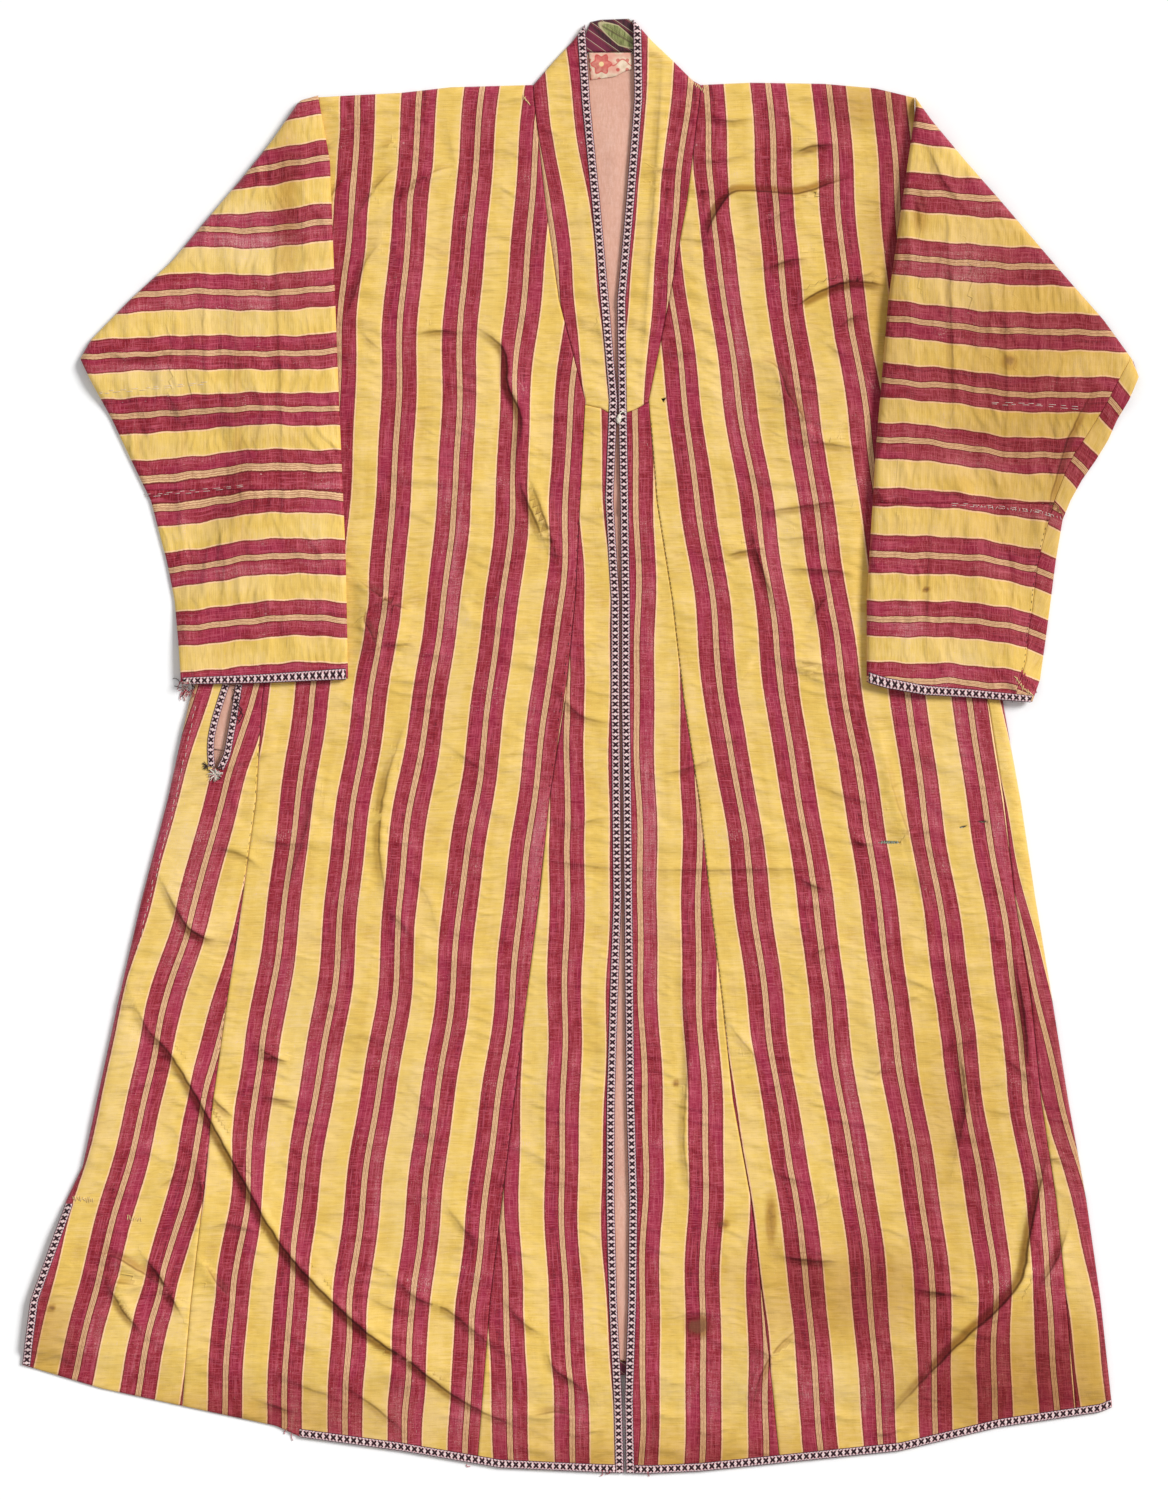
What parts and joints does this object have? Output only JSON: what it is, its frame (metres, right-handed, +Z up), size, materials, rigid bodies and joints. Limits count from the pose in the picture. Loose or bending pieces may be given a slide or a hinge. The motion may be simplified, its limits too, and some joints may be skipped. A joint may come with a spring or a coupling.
{
  "type": "chapan robe",
  "caption": "Long striped Uzbek chapan robe laid flat, sleeves folded down over the fronts, with braided edges and a peach lining.",
  "frame": {"origin": "middle of the robe's outline on the surface that it lies on", "axes": "+X across the robe to the right as seen from above, +Y from the hem to the collar, +Z up from the surface"},
  "size_m": [0.9834, 1.2812, 0.011],
  "materials": {
    "striped_cloth": "handwoven cotton and silk warp stripes in yellow, maroon and tan, slightly glossy and worn",
    "lining_cotton": "matt peach cotton, thin and creased",
    "dark_silk": "dark maroon and black silk with thin cream stripes",
    "printed_cotton": "matt red cotton with a small floral print",
    "braid": "tightly woven narrow braid with small dark and white figures",
    "button_cord": "knotted cream cotton cord"
  },
  "bodies": {
    "root": {"back_gore_left": "striped_cloth", "back_gore_right": "striped_cloth", "back_left": "striped_cloth", "back_right": "striped_cloth", "braid_cuff_left": "braid", "braid_cuff_right": "braid", "braid_front_left": "braid", "braid_front_right": "braid", "braid_hem_left": "braid", "braid_hem_right": "braid", "braid_neck_left": "braid", "braid_neck_right": "braid", "braid_pocket_inner": "braid", "braid_pocket_outer": "braid", "braid_slit_left": "braid", "button": "button_cord", "collar_back": "striped_cloth", "collar_facing": "dark_silk", "collar_left": "striped_cloth", "collar_right": "striped_cloth", "front_insert_left": "striped_cloth", "front_insert_right": "striped_cloth", "front_left": "striped_cloth", "front_right": "striped_cloth", "hem_band_back": "dark_silk", "lining_back": "lining_cotton", "neck_patch": "printed_cotton", "pocket_lining": "lining_cotton", "side_gore_left": "striped_cloth", "side_gore_right": "striped_cloth", "sleeve_left_lower": "striped_cloth", "sleeve_left_upper": "striped_cloth", "sleeve_right_lower": "striped_cloth", "sleeve_right_strip": "striped_cloth", "sleeve_right_upper": "striped_cloth", "sleeve_root_left": "striped_cloth", "sleeve_root_right": "striped_cloth"}
  },
  "joints": []
}
